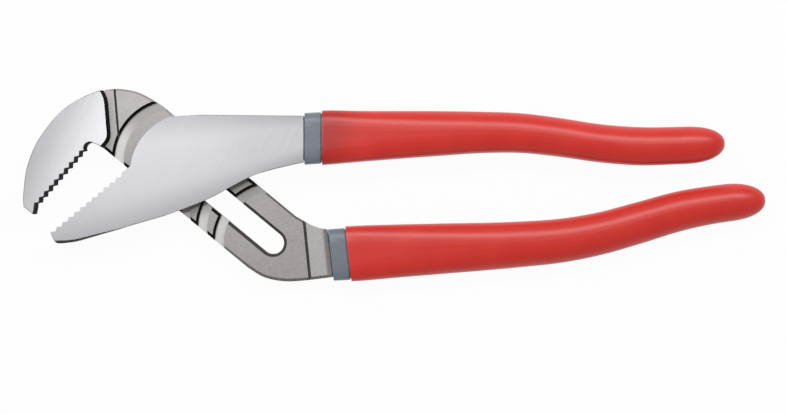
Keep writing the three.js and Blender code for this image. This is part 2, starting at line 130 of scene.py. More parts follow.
def add_node(tree, kind, settings=None, **inputs):
    """Adds a node. A socket given for an input is linked, and any other value is set.

    An input called i0, i1 and so on is found by its number, because such sockets share a name.
    """
    node = tree.nodes.new(kind)
    for name, value in (settings or {}).items():
        setattr(node, name, value)
    for name, value in inputs.items():
        by_number = name[0] == "i" and name[1:].isdigit()
        socket = node.inputs[int(name[1:]) if by_number else name]
        if isinstance(value, bpy.types.NodeSocket):
            tree.links.new(value, socket)
        else:
            socket.default_value = value
    return node


def new_material(name):
    """A new material with its node tree and its shader, ready for its own nodes."""
    material = bpy.data.materials.new(name)
    material.use_nodes = True
    tree = material.node_tree
    return material, tree, tree.nodes["Principled BSDF"]


def steel(name, dark, light, roughness, streak, fleck, turn=0.0, metallic=0.85):
    """Steel between two greys, with tool marks that are streak long, fleck wide and turned by an angle."""
    material, tree, shader = new_material(name)
    place = add_node(tree, "ShaderNodeTexCoord")
    turned_place = add_node(tree, "ShaderNodeMapping", Vector=place.outputs["Object"],
                            Rotation=(0, 0, -turn))
    stretched = add_node(tree, "ShaderNodeMapping", Vector=turned_place.outputs[0],
                         Scale=(1 / (streak * MM), 1 / (fleck * MM), 1 / (fleck * MM)))
    marks = add_node(tree, "ShaderNodeTexNoise", Vector=stretched.outputs[0],
                     Scale=1.0, Detail=3.0, Roughness=0.6)
    cloud = add_node(tree, "ShaderNodeTexNoise", Vector=place.outputs["Object"],
                     Scale=CLOUDS_PER_MM / MM, Detail=2.0)
    both = add_node(tree, "ShaderNodeMath", {"operation": "MULTIPLY_ADD"},
                    i0=cloud.outputs["Fac"], i1=CLOUD_SHARE, i2=marks.outputs["Fac"])
    ramp = add_node(tree, "ShaderNodeValToRGB", Fac=both.outputs[0])
    ramp.color_ramp.elements[0].position = DARKEST_AT
    ramp.color_ramp.elements[0].color = srgb(dark)
    ramp.color_ramp.elements[1].color = srgb(light)
    rough = add_node(tree, "ShaderNodeMapRange", Value=marks.outputs["Fac"])
    rough.inputs["To Min"].default_value = roughness - ROUGHNESS_SWING
    rough.inputs["To Max"].default_value = roughness + ROUGHNESS_SWING
    bump = add_node(tree, "ShaderNodeBump", Height=marks.outputs["Fac"],
                    Strength=MARK_STRENGTH, Distance=MARK_DEPTH * MM)
    tree.links.new(ramp.outputs["Color"], shader.inputs["Base Color"])
    tree.links.new(rough.outputs["Result"], shader.inputs["Roughness"])
    tree.links.new(bump.outputs["Normal"], shader.inputs["Normal"])
    shader.inputs["Metallic"].default_value = metallic
    return material


def turned_axes(material, centre, turn):
    """The place on a piece along two axes, from a centre and turned by an angle."""
    tree = material.node_tree
    place = add_node(tree, "ShaderNodeTexCoord")
    moved = add_node(tree, "ShaderNodeMapping", {"vector_type": "TEXTURE"}, Vector=place.outputs["Object"],
                     Location=(centre[0] * MM, centre[1] * MM, 0), Rotation=(0, 0, turn))
    return add_node(tree, "ShaderNodeSeparateXYZ", Vector=moved.outputs[0]).outputs


def fade(material, value, start, end, colour):
    """Fades a material's colour into another one while a value goes from start to end."""
    tree = material.node_tree
    share = add_node(tree, "ShaderNodeMapRange", {"interpolation_type": "SMOOTHSTEP"}, Value=value)
    share.inputs["From Min"].default_value = start
    share.inputs["From Max"].default_value = end
    base = tree.nodes["Principled BSDF"].inputs["Base Color"]
    mix = add_node(tree, "ShaderNodeMix", {"data_type": "RGBA"}, Factor=share.outputs["Result"])
    tree.links.new(base.links[0].from_socket, mix.inputs["A"])
    mix.inputs["B"].default_value = srgb(colour)
    tree.links.new(mix.outputs["Result"], base)


# Blasted steel is a dull warm grey, with the grit's grain drawn twice as coarse as it is so that it shows
blasted_steel = steel("blasted_steel", "#9f9c9b", "#bab6b5", roughness=0.5, streak=0.7, fleck=0.6)
# The ground jaw face is nearly white, with long faint belt marks, a painted highlight by the wall and
# painted shade that dulls it towards its outer rim
ground_steel = steel("ground_steel", "#cacacd", "#d5d5d8", roughness=0.4,
                     streak=9.0, fleck=0.35, turn=BELT_TURN)
jaw_shade_axes = turned_axes(ground_steel, JAW_RIM, JAW_RIM_TURN)
fade(ground_steel, jaw_shade_axes["X"], JAW_HIGHLIGHT_FROM * MM, 0.0, "#acacaf")
# Milled groove floors are light steel, with a painted highlight that brightens them at the bar's lower side
# and fades to a dull grey towards its upper side
milled_steel = steel("milled_steel", "#cfcdcb", "#dfdddb", roughness=0.5,
                     streak=1.5, fleck=0.3, turn=MILL_TURN)
floor_highlight_axes = turned_axes(milled_steel, (0, 0), SLOT_ANGLE)
fade(milled_steel, floor_highlight_axes["Y"], FLOOR_HIGHLIGHT_TO * MM, FLOOR_HIGHLIGHT_END * MM, "#a9a5a5")
# The land next to the jaw and the neck's flat are blasted a little lighter, with faint marks across
pale_steel = steel("pale_steel", "#b2aeae", "#c9c5c5", roughness=0.55,
                   streak=1.6, fleck=0.6, turn=CROSS_TURN)
# Forged sides are left as they come from the die, darker and rougher
forged_steel = steel("forged_steel", "#6f6a68", "#938d8b", roughness=0.6, streak=0.8, fleck=0.5)
# Worn oxide, on the slot's edge, the scribed lines and the tangs, is a dark grey that steel shines through.
# On the tangs, the scribed lines and the lower jaw's edge slope it is also painted shade, of the gap at the
# collar, of a step and of a chamfer in shadow
worn_oxide_and_shade = steel("worn_oxide_and_shade", "#4a4746", "#625e5d", roughness=0.7,
                   streak=0.8, fleck=0.4, metallic=0.3)
# Black oxide stays on the slopes that no grinding belt reaches, a dead matt black. On the jaw wall, the
# teeth, the groove slopes and the land edges it is also painted shade, where those walls lie in shadow
black_oxide_and_shade = steel("black_oxide_and_shade", "#0c0c0d", "#1f1e1f", roughness=0.85,
                    streak=0.6, fleck=0.4, metallic=0.0)
for oxide_and_shade_material in (worn_oxide_and_shade, black_oxide_and_shade):
    oxide_and_shade_material.node_tree.nodes["Principled BSDF"].inputs["Specular IOR Level"].default_value = OXIDE_SHINE
REAR_MATERIALS = [
    blasted_steel,
    ground_steel,
    milled_steel,
    pale_steel,
    forged_steel,
    worn_oxide_and_shade,
    black_oxide_and_shade,
]
BLASTED, GROUND, MILLED, PALE, FORGED, WORN_AND_SHADE, OXIDE_AND_SHADE = range(len(REAR_MATERIALS))

# How far a cutter passes the faces that it cuts
CUT_OVER = 0.05
CUT_OUTSIDE = 0.5
FLUSH_GAP = 0.02
# Limits for telling which way a face looks, by the upward part of its normal
UPRIGHT = 0.2
STEEP = 0.4
SLOPING = 0.6
FACING_UP = 0.9
LEVEL = 0.999
# Slack for finding an edge or a face by its place
SAME_LEVEL = 0.01
NEAR_LEVEL = 0.1
FACE_BAND = 0.3
MARGIN = 1.0
# Loose triangles closer than this join, and faces this little apart in angle become one
JOIN_GAP = 0.002
FLAT_ANGLE = math.radians(0.4)
MITRE_LIMIT = 0.5
ARC_STEPS = 16
GROOVE_STEPS = 40
UPPER_SIDE = 1
LOWER_SIDE = -1


def along_slot(distance, offset=0.0):
    """A point on the bar, by its distance along the slot and its offset to the upper side."""
    c, s = math.cos(SLOT_ANGLE), math.sin(SLOT_ANGLE)
    return (distance * c - offset * s, distance * s + offset * c)


def slot_place(point):
    """A point's distance along the slot and its offset to the upper side of the slot's centre line."""
    c, s = math.cos(SLOT_ANGLE), math.sin(SLOT_ANGLE)
    return point.x * c + point.y * s, point.y * c - point.x * s - SLOT_OFFSET


def merged_copy(node):
    """A CAD node's mesh in millimetres, with its loose triangles joined into whole faces."""
    shape = bmesh.new()
    shape.from_mesh(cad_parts[node].data)
    bmesh.ops.scale(shape, vec=(1 / MM, 1 / MM, 1 / MM), verts=shape.verts)
    bmesh.ops.remove_doubles(shape, verts=shape.verts, dist=JOIN_GAP)
    bmesh.ops.dissolve_limit(shape, angle_limit=FLAT_ANGLE, verts=shape.verts, edges=shape.edges)
    return shape


def to_object(name, shape, materials):
    """Turns a shape in millimetres into an object at the origin, in metres."""
    bmesh.ops.scale(shape, vec=(MM, MM, MM), verts=shape.verts)
    mesh = bpy.data.meshes.new(name)
    shape.to_mesh(mesh)
    shape.free()
    for material in materials:
        mesh.materials.append(material)
    made = bpy.data.objects.new(name, mesh)
    bpy.context.scene.collection.objects.link(made)
    return made


def loft(rings, material=0, joined=False):
    """A closed shape through rings of points. The last ring is joined to the first, or both are capped."""
    shape = bmesh.new()
    rows = [[shape.verts.new(point) for point in ring] for ring in rings]
    following = rows[1:] + rows[:1] if joined else rows[1:]
    count = len(rows[0])
    for row, after in zip(rows, following):
        for i in range(count):
            j = (i + 1) % count
            shape.faces.new((row[i], row[j], after[j], after[i]))
    if not joined:
        shape.faces.new(list(reversed(rows[0])))
        shape.faces.new(rows[-1])
    for face in shape.faces:
        face.material_index = material
    bmesh.ops.recalc_face_normals(shape, faces=shape.faces)
    return shape


def bevel_rim(shape, level, width, wanted=None, material=-1, segments=1, rise=0.0):
    """Bevels the outward edges over an upright wall, at one level or up to a rise above it."""
    def is_rim(edge):
        if len(edge.link_faces) != 2 or not edge.is_convex:
            return False
        if any(not -SAME_LEVEL < vert.co.z - level < rise + SAME_LEVEL for vert in edge.verts):
            return False
        tilts = sorted(abs(face.normal.z) for face in edge.link_faces)
        return tilts[0] < UPRIGHT and tilts[1] > SLOPING and (wanted is None or wanted(edge))
    rim = [edge for edge in shape.edges if is_rim(edge)]
    bmesh.ops.bevel(shape, geom=rim, offset=width, segments=segments, profile=0.5, affect="EDGES",
                    clamp_overlap=False, material=material)


def settle(target):
    """Turns an object's modifiers into its plain mesh."""
    evaluated = target.evaluated_get(bpy.context.evaluated_depsgraph_get())
    mesh = bpy.data.meshes.new_from_object(evaluated)
    target.modifiers.clear()
    old = target.data
    target.data = mesh
    bpy.data.meshes.remove(old)


def cut_away(target, cutter, operation="DIFFERENCE"):
    """Cuts one object by another. The cut faces take the cutter's materials."""
    modifier = target.modifiers.new("cut", "BOOLEAN")
    modifier.operation = operation
    modifier.solver = "EXACT"
    modifier.material_mode = "TRANSFER"
    modifier.object = cutter
    settle(target)
    bpy.data.objects.remove(cutter)


def smooth(target, angle):
    """Smooth shading, with level faces flat and edges sharper than the angle in degrees kept crisp."""
    target.data.set_sharp_from_angle(angle=math.radians(angle))
    for face in target.data.polygons:
        face.use_smooth = abs(face.normal.z) < LEVEL


def offset_path(path, distance):
    """The path moved sideways to its right by a distance, with mitred corners."""
    points = [Vector(point) for point in path]
    moved = []
    for i, point in enumerate(points):
        before = (point - points[i - 1]).normalized() if i > 0 else None
        after = (points[i + 1] - point).normalized() if i + 1 < len(points) else None
        before = before or after
        after = after or before
        course = (before + after).normalized()
        side = Vector((course.y, -course.x))
        moved.append(point + side * distance / max(MITRE_LIMIT, course.dot(before)))
    return moved


def round_corner(before, corner, after):
    """Points of a rounded corner between two straight runs."""
    corner = Vector(corner)
    start = corner + (Vector(before) - corner).normalized() * WALL_ROUNDING
    end = corner + (Vector(after) - corner).normalized() * WALL_ROUNDING
    return [start.lerp(corner, t).lerp(corner.lerp(end, t), t) for t in (0.0, 0.25, 0.5, 0.75, 1.0)]


def strip(path, section, material):
    """A solid strip along a path, with its section as pairs of sideways distance and level."""
    lines = [(offset_path(path, aside), level) for aside, level in section]
    rings = [[(line[i].x, line[i].y, level) for line, level in lines] for i in range(len(path))]
    return loft(rings, material)


def edge_slope(level, path, widths, material):
    """A cutter for a slope along an edge of a level face, with its own width at each point of the path."""
    top = level + CUT_OVER
    rings = []
    for point, aside, width in zip(path, offset_path(path, 1.0), widths):
        side = aside - Vector(point)
        inner = Vector(point) - side * (width + CUT_OVER)
        outer = Vector(point) + side * CUT_OUTSIDE
        low = level - width - CUT_OUTSIDE
        rings.append([(inner.x, inner.y, top), (outer.x, outer.y, top), (outer.x, outer.y, low)])
    return loft(rings, material)


def stadium(grow, level):
    """The slot's outline at one level, grown sideways."""
    points = []
    for end, start in ((SLOT_ENDS[1], -90), (SLOT_ENDS[0], 90)):
        x, y = along_slot(end, SLOT_OFFSET)
        for step in range(ARC_STEPS + 1):
            angle = SLOT_ANGLE + math.radians(start + step * 180 / ARC_STEPS)
            reach = SLOT_HALF_WIDTH + grow
            points.append((x + reach * math.cos(angle), y + reach * math.sin(angle), level))
    return points


def groove_slope():
    """A cutter for the sloping wall on a groove's jaw side, about the bolt's place at that setting."""
    top = JOINT_LEVEL + CUT_OVER
    section = [
        (GROOVE_RADIUS - CUT_OUTSIDE, JOINT_LEVEL - GROOVE_SLOPE),
        (GROOVE_RADIUS, JOINT_LEVEL - GROOVE_SLOPE),
        (GROOVE_RADIUS + GROOVE_SLOPE, top),
        (GROOVE_RADIUS - CUT_OUTSIDE, top),
    ]
    rings = []
    for step in range(GROOVE_STEPS + 1):
        angle = SLOT_ANGLE + math.pi + GROOVE_SPREAD * (2 * step / GROOVE_STEPS - 1)
        rings.append([(r * math.cos(angle), r * math.sin(angle), z) for r, z in section])
    return to_object("groove_slope", loft(rings), [])


def repeat_along_slot(piece):
    """Copies a piece to the bolt's place at every setting but the one in use, with Geometry Nodes."""
    tree = bpy.data.node_groups.new("groove_row", "GeometryNodeTree")
    sockets = tree.interface
    sockets.new_socket("Geometry", in_out="INPUT", socket_type="NodeSocketGeometry")
    for name in ("First", "Step"):
        sockets.new_socket(name, in_out="INPUT", socket_type="NodeSocketVector")
    for name in ("Count", "In Use"):
        sockets.new_socket(name, in_out="INPUT", socket_type="NodeSocketInt")
    sockets.new_socket("Geometry", in_out="OUTPUT", socket_type="NodeSocketGeometry")
    given = add_node(tree, "NodeGroupInput")
    row = add_node(tree, "GeometryNodeMeshLine", Count=given.outputs["Count"])
    tree.links.new(given.outputs["First"], row.inputs["Start Location"])
    tree.links.new(given.outputs["Step"], row.inputs["Offset"])
    number = add_node(tree, "GeometryNodeInputIndex")
    others = add_node(tree, "FunctionNodeCompare", {"data_type": "INT", "operation": "NOT_EQUAL"},
                      i2=number.outputs[0], i3=given.outputs["In Use"])
    copies = add_node(tree, "GeometryNodeInstanceOnPoints", Points=row.outputs[0],
                      Instance=given.outputs["Geometry"], Selection=others.outputs[0])
    real = add_node(tree, "GeometryNodeRealizeInstances", Geometry=copies.outputs[0])
    # The copies take black oxide, which on the groove slopes is also painted shade
    black = add_node(tree, "GeometryNodeSetMaterial", Geometry=real.outputs[0], Material=black_oxide_and_shade)
    add_node(tree, "NodeGroupOutput", Geometry=black.outputs[0])
    modifier = piece.modifiers.new("row", "NODES")
    modifier.node_group = tree
    keys = {item.name: item.identifier for item in sockets.items_tree if item.in_out == "INPUT"}
    first = along_slot(SETTINGS[0] * PITCH)
    step = along_slot(PITCH)
    modifier[keys["First"]] = (first[0] * MM, first[1] * MM, 0.0)
    modifier[keys["Step"]] = (step[0] * MM, step[1] * MM, 0.0)
    modifier[keys["Count"]] = len(SETTINGS)
    modifier[keys["In Use"]] = SETTINGS.index(0)
    settle(piece)
    return piece


def is_bar_side(edge, side, start, end=math.inf):
    """True for an edge of the bar's upper or lower side, between two distances along the slot."""
    wall = min(edge.link_faces, key=lambda face: abs(face.normal.z))
    along, offset = slot_place((edge.verts[0].co + edge.verts[1].co) / 2)
    beside_slot = abs(offset) < SLOT_HALF_WIDTH + MARGIN
    in_slot = beside_slot and along < SLOT_ENDS[1] + SLOT_HALF_WIDTH + MARGIN
    goes_down = min(vert.co.z for vert in wall.verts) < BAR_BOTTOM + MARGIN
    return goes_down and wall.normal.y * side > 0 and not in_slot and start < along < end


def is_in_teeth(point, row):
    """True for a point next to a row of teeth, given by its two ends."""
    start, end = Vector(row[0]), Vector(row[1])
    course = end - start
    away = point.xy - start
    along = away.dot(course) / course.length
    beside = abs(course.cross(away)) / course.length < TEETH_REACH
    return beside and -MARGIN < along < course.length + MARGIN


def rear_finish(face, made):
    """The finish of a face of the rear lever: the one it was made with, or else the one of its place."""
    middle = face.center / MM
    along = slot_place(middle)[0]
    # Along the grooves the worn edges turn to black oxide, which is also painted shade there
    if made == WORN_AND_SHADE and HEAD_END < along < LAST_GROOVE:
        return OXIDE_AND_SHADE
    if made in (WORN_AND_SHADE, OXIDE_AND_SHADE):
        return made
    # The tangs are worn oxide, dark also as painted shade in the thin gap at the collar
    if middle.x > LOWER_TANG:
        return WORN_AND_SHADE
    if abs(face.normal.z) < STEEP:
        # Tooth and throat walls take black oxide, which is also painted shade in them
        in_throat = (middle.xy - Vector(THROAT)).length < THROAT_REACH
        return OXIDE_AND_SHADE if in_throat or is_in_teeth(middle, UPPER_TEETH) else FORGED
    if face.normal.z <= FACING_UP:
        return made
    if middle.z > FACE_LEVEL - FACE_BAND:
        return GROUND
    if abs(middle.z - GROOVE_FLOOR) < NEAR_LEVEL:
        return MILLED
    on_land = abs(middle.z - JOINT_LEVEL) < NEAR_LEVEL and along < HEAD_LAND
    on_neck = abs(middle.z - NECK_LEVEL) < NEAR_LEVEL
    return PALE if on_land or on_neck else made


rear_shape = merged_copy("rear_lever")
bevel_rim(rear_shape, FACE_LEVEL, JAW_EDGE, segments=2)
bevel_rim(rear_shape, JOINT_LEVEL, UPPER_EDGE,
          lambda edge: is_bar_side(edge, UPPER_SIDE, -math.inf, HEAD_END), BLASTED)
bevel_rim(rear_shape, JOINT_LEVEL, UPPER_EDGE,
          lambda edge: is_bar_side(edge, UPPER_SIDE, LAST_GROOVE), FORGED)
bevel_rim(rear_shape, JOINT_LEVEL, LOWER_EDGE,
          lambda edge: is_bar_side(edge, LOWER_SIDE, LAST_GROOVE), FORGED)
bevel_rim(rear_shape, NECK_LEVEL, LOWER_EDGE,
          lambda edge: is_bar_side(edge, LOWER_SIDE, LAST_GROOVE), FORGED, rise=SHOULDER_RISE)
bevel_rim(rear_shape, BAR_BOTTOM, JAW_EDGE, segments=2)
rear_lever = to_object("rear_lever_forging", rear_shape, REAR_MATERIALS)
wall_top = FACE_LEVEL + MARGIN
wall_section = [
    (-MARGIN, JOINT_LEVEL + CUT_OVER),
    (FLUSH_GAP, JOINT_LEVEL + CUT_OVER),
    (WALL_SLOPE * (wall_top - JOINT_LEVEL) / (FACE_LEVEL - JOINT_LEVEL), wall_top),
    (-MARGIN, wall_top),
]
jaw_wall = [WALL_TOP]
jaw_wall += round_corner(WALL_TOP, WALL_HIGH, WALL_LOW)
jaw_wall += round_corner(WALL_HIGH, WALL_LOW, WALL_FOOT)
jaw_wall += [WALL_FOOT]
# The jaw wall's slope takes black oxide, which is also painted shade beside the wall
cut_away(rear_lever, to_object("wall_slope", strip(jaw_wall, wall_section, OXIDE_AND_SHADE), REAR_MATERIALS))
# The tongue has rubbed away the slope of the groove in use
cut_away(rear_lever, repeat_along_slot(groove_slope()))
lower_side = [along_slot(JAW_FOOT, BAR_LOWER_SIDE), along_slot(LAST_GROOVE, BAR_LOWER_SIDE)]
upper_side = [along_slot(LAST_GROOVE, BAR_UPPER_SIDE), along_slot(HEAD_END, BAR_UPPER_SIDE)]
# The slopes along the land edges take black oxide, which is also painted shade there
for side_path in (lower_side, upper_side):
    land_slope = edge_slope(JOINT_LEVEL, side_path, [LAND_EDGE, LAND_EDGE], OXIDE_AND_SHADE)
    cut_away(rear_lever, to_object("land_slope", land_slope, REAR_MATERIALS))
slot_rings = [
    stadium(-CUT_OVER, JOINT_LEVEL - SLOT_CHAMFER),
    stadium(SLOT_CHAMFER + CUT_OVER, JOINT_LEVEL + CUT_OVER),
]
cut_away(rear_lever, to_object("slot_chamfer", loft(slot_rings, WORN_AND_SHADE), REAR_MATERIALS))
# The scribed lines take worn oxide, whose dark is also painted shade of a step
for path, width in ((LEDGE_LINE, LEDGE_LINE_WIDTH), (NECK_LINE, NECK_LINE_WIDTH)):
    top = JOINT_LEVEL + CUT_OVER
    bottom = top - LINE_DEPTH
    section = [(-width / 2, top), (-width / 4, bottom), (width / 4, bottom), (width / 2, top)]
    cut_away(rear_lever, to_object("scribed_line", strip(path, section, WORN_AND_SHADE), REAR_MATERIALS))
rear_names = [material.name for material in rear_lever.data.materials]
for face in rear_lever.data.polygons:
    made = REAR_MATERIALS.index(rear_lever.data.materials[face.material_index])
    face.material_index = rear_names.index(REAR_MATERIALS[rear_finish(face, made)].name)
smooth(rear_lever, 30)
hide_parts("rear_lever")
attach(rear_lever, "rear_half")

# Lower handle's liner
# A thin grey vinyl sleeve, pushed over the tang before the handle is dipped.
# Its thicker collar shows in front of the grip.
COLLAR_LENGTH = 5.7
COLLAR_INSET = 0.55
LINER_INSET = 1.1
LINER_BORE = 1.7
# Distance from the collar's end and depth under the grip's skin, round the collar's two edges
COLLAR_FRONT_EDGE = [(0.0, 0.72), (0.06, 0.6), (0.2, COLLAR_INSET)]
COLLAR_BACK_EDGE = [(0.4, COLLAR_INSET), (0.1, 0.68), (0.0, LINER_INSET)]
TAIL_WALL = 9.0
SLEEVE_FROM = 1.0
SLEEVE_END = 0.9
BORE_END = 0.3
MOUTH_SKIN = 0.05
SLEEVE_STEP = 6.0
COLLAR_POWER = 4.6
TAIL_SECTION_POWER = 2.15
SECTION_FADE = 26.0
RING_POINTS = 48
# A handle's stations: distance from its root, offset across, half width and half thickness
LOWER_HANDLE = {
    "root": (47.55, -27.3),
    "tilt": math.radians(6.5),
    "level": 6.0,
    "stations": [
        (0.0, -0.35, 9.4, 5.5),
        (8.0, -0.75, 9.5, 5.6),
        (23.6, -1.6, 9.1, 5.8),
        (37.3, -2.45, 8.7, 6.0),
        (64.7, -4.05, 7.85, 5.9),
        (78.5, -4.4, 7.55, 5.8),
        (92.3, -3.5, 7.3, 5.7),
        (106.4, -1.3, 7.15, 5.6),
        (120.4, 1.05, 6.85, 5.5),
        (134.3, 2.0, 6.5, 5.4),
        (149.9, 1.75, 6.5, 5.3),
    ],
}


def station(handle, distance):
    """Across, half width and half thickness of a handle, on a smooth curve through its stations."""
    rows = np.array(handle["stations"])
    places = rows[:, 0]
    slopes = np.gradient(rows[:, 1:], places, axis=0)
    at = min(max(distance, places[0]), places[-1])
    i = min(max(int(np.searchsorted(places, at)) - 1, 0), len(places) - 2)
    gap = places[i + 1] - places[i]
    t = (at - places[i]) / gap
    before = (2 * t ** 3 - 3 * t ** 2 + 1) * rows[i, 1:] + (t ** 3 - 2 * t ** 2 + t) * gap * slopes[i]
    after = (3 * t ** 2 - 2 * t ** 3) * rows[i + 1, 1:] + (t ** 3 - t ** 2) * gap * slopes[i + 1]
    return before + after


def handle_ring(handle, distance, inset, shrink=1.0):
    """A ring of a handle, an inset inside the grip's skin. Boxy at the collar, it soon gets round."""
    across, half_width, half_thickness = station(handle, distance)
    boxiness = (COLLAR_POWER - TAIL_SECTION_POWER) * math.exp(-distance / SECTION_FADE)
    power = TAIL_SECTION_POWER + boxiness
    c, s = math.cos(handle["tilt"]), math.sin(handle["tilt"])
    points = []
    for i in range(RING_POINTS):
        angle = (i + 0.5) * 2 * math.pi / RING_POINTS
        u, v = math.cos(angle), math.sin(angle)
        wide = math.copysign(abs(u) ** (2 / power), u) * (half_width - inset) * shrink
        thick = math.copysign(abs(v) ** (2 / power), v) * (half_thickness - inset) * shrink
        side = across + wide
        x = handle["root"][0] + distance * c - side * s
        y = handle["root"][1] + distance * s + side * c
        points.append((x, y, handle["level"] + thick))
    return points


def evenly(start, end, step):
    """Distances from start to end in about equal steps."""
    return np.linspace(start, end, max(2, int(abs(end - start) / step) + 1))


def liner_shape(handle):
    """The sleeve with its collar, round the outside and back along the bore to a thin skin at its mouth."""
    tang_end = handle["stations"][-1][0] - TAIL_WALL
    profile = [(0.0, LINER_BORE)] + COLLAR_FRONT_EDGE
    profile += [(COLLAR_LENGTH - before, inset) for before, inset in COLLAR_BACK_EDGE]
    outside = evenly(COLLAR_LENGTH + SLEEVE_FROM, tang_end + SLEEVE_END, SLEEVE_STEP)
    profile += [(at, LINER_INSET) for at in outside]
    bore = evenly(tang_end + BORE_END, MOUTH_SKIN, SLEEVE_STEP)
    profile += [(at, LINER_BORE) for at in bore]
    return loft([handle_ring(handle, at, inset) for at, inset in profile])


# Satin vinyl is a smooth blue-grey skin, with soft highlights and a fine mottle about every millimetre
MOTTLES_PER_MM = 0.9
MOTTLE_DEPTH = 0.05
MOTTLE_STRENGTH = 0.1
liner_vinyl, liner_tree, liner_shader = new_material("liner_vinyl")
liner_place = add_node(liner_tree, "ShaderNodeTexCoord")
liner_mottle = add_node(liner_tree, "ShaderNodeTexNoise", Vector=liner_place.outputs["Object"],
                        Scale=MOTTLES_PER_MM / MM, Detail=3.0)
liner_ramp = add_node(liner_tree, "ShaderNodeValToRGB", Fac=liner_mottle.outputs["Fac"])
liner_ramp.color_ramp.elements[0].color = srgb("#727a86")
liner_ramp.color_ramp.elements[1].color = srgb("#868e9a")
liner_bump = add_node(liner_tree, "ShaderNodeBump", Height=liner_mottle.outputs["Fac"],
                      Strength=MOTTLE_STRENGTH, Distance=MOTTLE_DEPTH * MM)
liner_tree.links.new(liner_ramp.outputs["Color"], liner_shader.inputs["Base Color"])
liner_tree.links.new(liner_bump.outputs["Normal"], liner_shader.inputs["Normal"])
liner_shader.inputs["Roughness"].default_value = 0.36

lower_liner = to_object("lower_liner_sleeve", liner_shape(LOWER_HANDLE), [liner_vinyl])
smooth(lower_liner, 40)
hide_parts("lower_grip_liner")
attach(lower_liner, "rear_half")

# Lower grip
# Red vinyl, dipped over the liner and tang, with a rounded tail and a soft lip at the collar.
# The dip leaves a glossy, slightly wavy skin.
GRIP_WALL = 0.9
GRIP_START = 6.0
LIP = 0.5
LIP_SHARE = 0.6
LIP_STEPS = 6
SKIN_STEP = 3.0
BORE_SPARE = 1.2
TAIL_ROUNDING = 13.5
TAIL_POWER = 2.2
TAIL_RINGS = 18


def grip_shape(handle):
    """The grip from the end of its bore, round the lip and along the outside to the tail's end."""
    length = handle["stations"][-1][0]
    round_from = length - TAIL_ROUNDING
    bore_end = length - TAIL_WALL + BORE_SPARE
    rings = [handle_ring(handle, at, GRIP_WALL) for at in evenly(bore_end, GRIP_START, SLEEVE_STEP)]
    for step in range(1, LIP_STEPS):
        angle = step * math.pi / 2 / LIP_STEPS
        at = GRIP_START + LIP * LIP_SHARE * (1 - math.sin(angle))
        rings.append(handle_ring(handle, at, GRIP_WALL * math.cos(angle) ** 2))
    rings += [handle_ring(handle, at, 0.0) for at in evenly(GRIP_START + LIP, round_from, SKIN_STEP)]
    for step in range(1, TAIL_RINGS):
        angle = step * math.pi / 2 / TAIL_RINGS
        at = round_from + TAIL_ROUNDING * math.sin(angle) ** (2 / TAIL_POWER)
        rings.append(handle_ring(handle, at, 0.0, math.cos(angle) ** (2 / TAIL_POWER)))
    return loft(rings)


# Dipped vinyl is a saturated glossy red, with shallow waves a centimetre long and a hint of dust
WAVES_PER_MM = 0.09
WAVE_DEPTH = 0.4
DUST_PER_MM = 1.5
DUST_DEPTH = 0.05
DIP_STRENGTH = 0.06
grip_vinyl, grip_tree, grip_shader = new_material("dipped_vinyl")
grip_place = add_node(grip_tree, "ShaderNodeTexCoord")
grip_wave = add_node(grip_tree, "ShaderNodeTexNoise", Vector=grip_place.outputs["Object"],
                     Scale=WAVES_PER_MM / MM, Detail=2.0)
grip_dust = add_node(grip_tree, "ShaderNodeTexNoise", Vector=grip_place.outputs["Object"],
                     Scale=DUST_PER_MM / MM, Detail=2.0)
grip_ramp = add_node(grip_tree, "ShaderNodeValToRGB", Fac=grip_wave.outputs["Fac"])
grip_ramp.color_ramp.elements[0].position = 0.3
grip_ramp.color_ramp.elements[0].color = srgb("#df332b")
grip_ramp.color_ramp.elements[1].position = 0.7
grip_ramp.color_ramp.elements[1].color = srgb("#e43930")
grip_soft = add_node(grip_tree, "ShaderNodeBump", Height=grip_wave.outputs["Fac"],
                     Strength=DIP_STRENGTH, Distance=WAVE_DEPTH * MM)
grip_bump = add_node(grip_tree, "ShaderNodeBump", Height=grip_dust.outputs["Fac"],
                     Normal=grip_soft.outputs["Normal"], Strength=DIP_STRENGTH, Distance=DUST_DEPTH * MM)
grip_tree.links.new(grip_ramp.outputs["Color"], grip_shader.inputs["Base Color"])
grip_tree.links.new(grip_bump.outputs["Normal"], grip_shader.inputs["Normal"])
grip_shader.inputs["Roughness"].default_value = 0.34
grip_shader.inputs["IOR"].default_value = 1.52
# The red darkens towards the grips' front ends, over 16 mm from the upper grip's front
GRIP_FRONT = (44.7, 12.1)
GRIP_FRONT_TURN = math.radians(-12)
DARK_FRONT_REACH = 16.0
grip_axes = turned_axes(grip_vinyl, GRIP_FRONT, GRIP_FRONT_TURN)
fade(grip_vinyl, grip_axes["X"], DARK_FRONT_REACH * MM, 0.0, "#c02d26")

lower_grip = to_object("lower_grip_dip", grip_shape(LOWER_HANDLE), [grip_vinyl])
smooth(lower_grip, 60)
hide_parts("lower_grip")
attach(lower_grip, "rear_half")

# Front lever
# The second forging: lower jaw, round edge over the grooves and upper handle, ground bright on its face.
# A tongue on its hidden side rides in the grooves, and the bolt's head is let into it from below.
FACE_EDGE = 0.18
LOWER_TEETH = [(-47.3, -19.6), (-23.2, 0.4)]
BAR_REACH = 24.0
COLLAR_FRONT = 38.0
UPPER_TANG = 39.0
# The slope along the jaw's lower edge, worn oxide that is also painted shade of the chamfer facing down,
# and its width at each point
JAW_SLOPE_PATH = [
    (-48.0, -23.6),
    (-44.8, -23.6),
    (-41.8, -23.45),
    (-38.7, -22.85),
    (-30.0, -20.3),
    (-24.0, -18.55),
]
JAW_SLOPE_WIDTHS = [0.9, 1.0, 0.95, 0.7, 0.35, 0.1]

